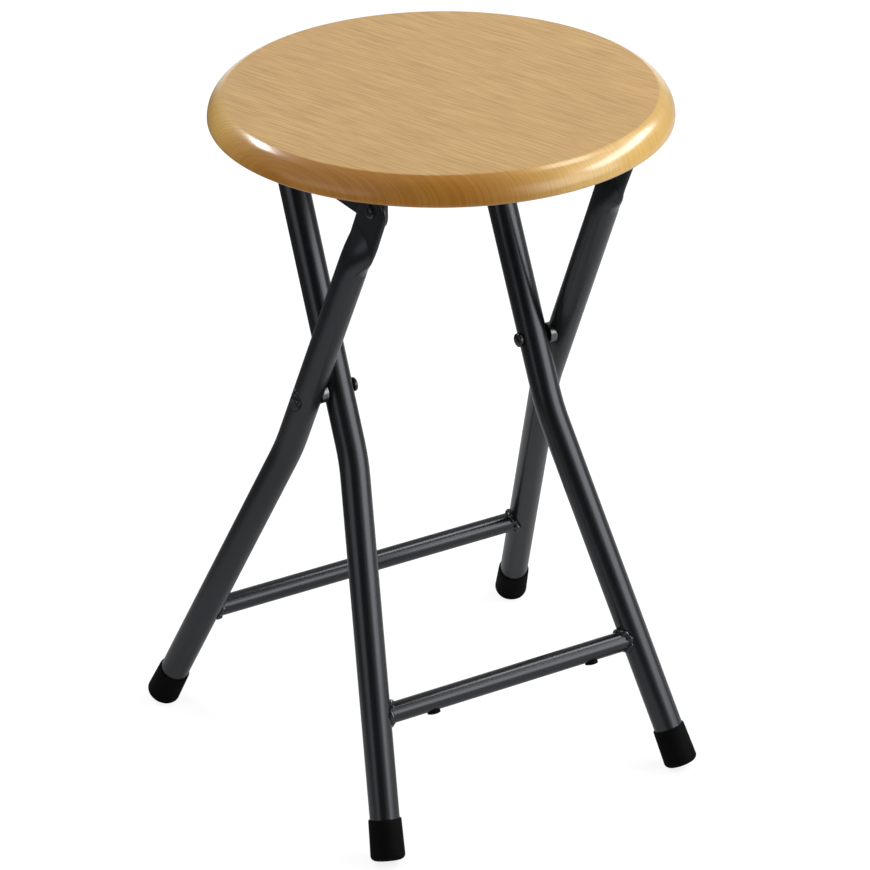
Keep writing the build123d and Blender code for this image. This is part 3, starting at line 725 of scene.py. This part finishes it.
def hinges():
    """Seat hinges, turned about the hinge axis: rivet with a domed head and a flat tail, and a thin washer."""
    pinch_x = outer.upper_x((HINGE - PIVOT) @ outer.up) - PINCH_INSET
    head = pinch_x + PINCH_HALF_THICKNESS + HINGE_PLAY
    rail_outside = pinch_x - PINCH_HALF_THICKNESS - HINGE_PLAY - WASHER_THICKNESS
    rail_inside = rail_outside - RAIL_THICKNESS
    tail = rail_inside - RIVET_TAIL_HEIGHT
    soft = RIVET_TAIL_HEIGHT / 2
    rivet = join(
        (tail, 0),
        arc((tail + soft, RIVET_TAIL_RADIUS - soft), (soft, soft), 180, 90, 8),
        (rail_inside, RIVET_TAIL_RADIUS),
        (rail_inside, HINGE_PIN_RADIUS),
        (head, HINGE_PIN_RADIUS),
        (head, RIVET_HEAD_RADIUS),
        arc((head, 0), (RIVET_HEAD_HEIGHT, RIVET_HEAD_RADIUS), 80, 4, 16),
        (head + RIVET_HEAD_HEIGHT, 0),
    )
    washer = join(
        (rail_outside, HINGE_PIN_RADIUS),
        (rail_outside, WASHER_RADIUS),
        (rail_outside + WASHER_THICKNESS, WASHER_RADIUS),
        (rail_outside + WASHER_THICKNESS, HINGE_PIN_RADIUS),
    )
    for side, sign in SIDES.items():
        axis = sign * ACROSS
        show(f"seat_rivet_{side}", f"hinge_rivet_{side}", lathe(rivet, HINGE, axis), DARK_METAL)
        show(f"seat_washer_{side}", f"hinge_washer_{side}", lathe(washer, HINGE, axis, loop=True), NYLON)


def dress_kept_nodes():
    """Finishes of the nodes that are shown as they are packed."""
    for side in SIDES:
        finishes = {"seat_rail": PAINT, "rail_screws": ZINC, "seat_saddle": NYLON, "saddle_screw": ZINC}
        for node, material in finishes.items():
            shown = frame["nodes"][f"{node}_{side}"]
            for slot in shown.material_slots:
                slot.material = material


def softbox(name, azimuth, elevation, distance, size, radiance):
    """Rectangular lamp that faces the stool; its power is radiance times pi times its area."""
    data = bpy.data.lights.new(name, "AREA")
    data.shape = "RECTANGLE"
    data.size, data.size_y = size
    data.energy = radiance * np.pi * size[0] * size[1]
    toward = Vector(direction(azimuth, elevation))
    lamp = bpy.data.objects.new(name, data)
    lamp.rotation_euler = toward.to_track_quat("Z", "Y").to_euler()
    lamp.location = toward * distance + Vector((0, 0, STUDIO_MIDDLE))
    lamp.visible_camera = False
    bpy.context.collection.objects.link(lamp)


STUDIO_MIDDLE = 0.3
FLOOR_REACH = 14.0
FILL_LIGHT = 0.31
LEFT_FILL = 0.8
MIRRORED_WALL = 0.28
DARK_FRONT = -37
DARK_CORNER = -140
LEFT_WALL = -100
BACKDROP = 148

# Azimuth and elevation in degrees, distance, width and height, radiance
LAMPS = {
    "right_softbox": (76, 38, 2.2, (2.3, 1.1), 1.4),
    "right_low_softbox": (75, 33, 2.2, (1.9, 0.5), 7.5),
    "right_high_softbox": (88, 60, 2.2, (0.6, 0.5), 6.0),
    "front_right_softbox": (35, 17, 2.2, (2.3, 1.6), 1.0),
    "front_right_softbox_core": (37, 16, 2.2, (1.6, 1.0), 1.6),
    "left_panel": (-88, 9, 2.4, (2.0, 0.8), 0.5),
    "back_left_softbox": (-161, 43, 2.6, (0.8, 0.32), 21.0),
}


def ray_kinds(shade):
    """Whether a ray comes from the camera, from a glossy surface or through glass."""
    return [shade.node("ShaderNodeLightPath", output=f"Is {kind} Ray") for kind in ("Camera", "Glossy", "Transmission")]


def white_world():
    """World: white as seen, through glass and mirrored from the backdrop behind the stool.

    The other walls of the room are dimmer in mirrors, with a dark front and a dark corner. As light it is
    an even fill, stronger from the left.
    """
    world = bpy.data.worlds.new("studio")
    bpy.context.scene.world = world
    world.use_nodes = True
    shade = Shade(world.node_tree)
    seen, glossy, through = ray_kinds(shade)
    ray = shade.node("ShaderNodeTexCoord", output="Generated")
    heading = ray.heading()
    height = shade.node("ShaderNodeSeparateXYZ", None, {0: ray}, "Z")
    front = shade.along(heading, direction(DARK_FRONT, 0)).between(0.87, 0.95)
    corner = shade.along(heading, direction(DARK_CORNER, 0)).between(0.5, 0.85) * (1 - height.between(0.15, 0.35))
    left = shade.along(heading, direction(LEFT_WALL, 0)).between(0.1, 0.9)
    behind = shade.along(heading, direction(BACKDROP, 0)).between(0.9, 0.98) * (1 - height.between(0.05, 0.2))
    mirrored_wall = MIRRORED_WALL * (1 - 0.95 * front) * (1 - 0.65 * corner)
    plain_light = glossy * mirrored_wall + (1 - glossy) * (FILL_LIGHT + LEFT_FILL * left)
    white = shade.math("MAXIMUM", shade.math("MAXIMUM", seen, through), glossy * behind)
    strength = white + (1 - white) * plain_light
    shade.fill(world.node_tree.nodes["Background"], {"Color": (1, 1, 1, 1), "Strength": strength})


def pale_floor():
    """Floor: white with a soft shadow as seen, through glass and mirrored far behind; elsewhere in mirrors a grey
    floor, dimmed evenly, with painted shade added in the back left corner and in front.
    """
    mesh = bpy.data.meshes.new("floor")
    corners = [(x * FLOOR_REACH, y * FLOOR_REACH, 0) for x, y in ((-1, -1), (1, -1), (1, 1), (-1, 1))]
    mesh.from_pydata(corners, [], [(0, 1, 2, 3)])
    floor = bpy.data.objects.new("floor", mesh)
    bpy.context.collection.objects.link(floor)
    material = bpy.data.materials.new("pale_floor")
    material.use_nodes = True
    mesh.materials.append(material)
    shade = Shade(material.node_tree)
    seen, glossy, through = ray_kinds(shade)
    spot = shade.node("ShaderNodeTexCoord", output="Object")
    corner = shade.along(spot, direction(DARK_CORNER, 0)).between(0.2, 0.7)
    front = shade.along(spot, direction(DARK_FRONT, 0)).between(0.6, 1.2)
    far = shade.along(spot, direction(BACKDROP, 0)).between(1.4, 2.4)
    behind = far * shade.along(spot.heading(), direction(BACKDROP, 0)).between(0.9, 0.98)
    # Painted shade on the floor in mirrors: mixed towards black evenly a little, and strongly in the back left corner
    # and in front
    mirrored_floor_shade = glossy * (0.35 + 0.55 * shade.math("MAXIMUM", corner, front))
    plain = shade.node("ShaderNodeBsdfDiffuse", None, {"Color": (0.62, 0.62, 0.62, 1)})
    black = shade.node("ShaderNodeBsdfDiffuse", None, {"Color": (0, 0, 0, 1)})
    faint = shade.node("ShaderNodeBsdfDiffuse", None, {"Color": (0.22, 0.22, 0.22, 1)})
    glow = shade.node("ShaderNodeEmission", None, {"Color": (1, 1, 1, 1), "Strength": 0.82})
    pale = shade.node("ShaderNodeAddShader", None, {0: faint, 1: glow})
    shaded_mirrored_floor = shade.node("ShaderNodeMixShader", None, {0: mirrored_floor_shade, 1: plain, 2: black})
    white = shade.math("MAXIMUM", shade.math("MAXIMUM", seen, through), glossy * behind)
    surface = shade.node("ShaderNodeMixShader", None, {0: white, 1: shaded_mirrored_floor, 2: pale})
    shade.fill(material.node_tree.nodes["Material Output"], {"Surface": surface})


def studio():
    """White world, pale floor and soft lamps round the stool."""
    white_world()
    pale_floor()
    for name, lamp in LAMPS.items():
        softbox(name, *lamp)


def camera():
    """Camera whose back direction, right and up follow from azimuth, elevation and roll."""
    back = direction(CAMERA_AZIMUTH, CAMERA_ELEVATION)
    right = np.array([np.cos(np.radians(CAMERA_AZIMUTH)), np.sin(np.radians(CAMERA_AZIMUTH)), 0])
    up = np.cross(back, right)
    roll = np.radians(CAMERA_ROLL)
    rolled_right = right * np.cos(roll) + up * np.sin(roll)
    rolled_up = np.cross(back, rolled_right)
    data = bpy.data.cameras.new("photo_camera")
    data.sensor_width = SENSOR_WIDTH
    data.lens = CAMERA_FOCAL_RATIO * SENSOR_WIDTH
    data.clip_end = 60.0
    eye = bpy.data.objects.new("photo_camera", data)
    eye.matrix_world = Matrix.Translation(CAMERA_PLACE) @ Matrix((rolled_right, rolled_up, back)).transposed().to_4x4()
    bpy.context.collection.objects.link(eye)
    bpy.context.scene.camera = eye


seat()
for side, sign in SIDES.items():
    outer_leg(side, sign)
inner_frame()
bars()
weld_beads()
drain_plugs()
feet()
pivots()
hinges()
dress_kept_nodes()
studio()
camera()
bpy.context.scene.view_settings.view_transform = "Standard"
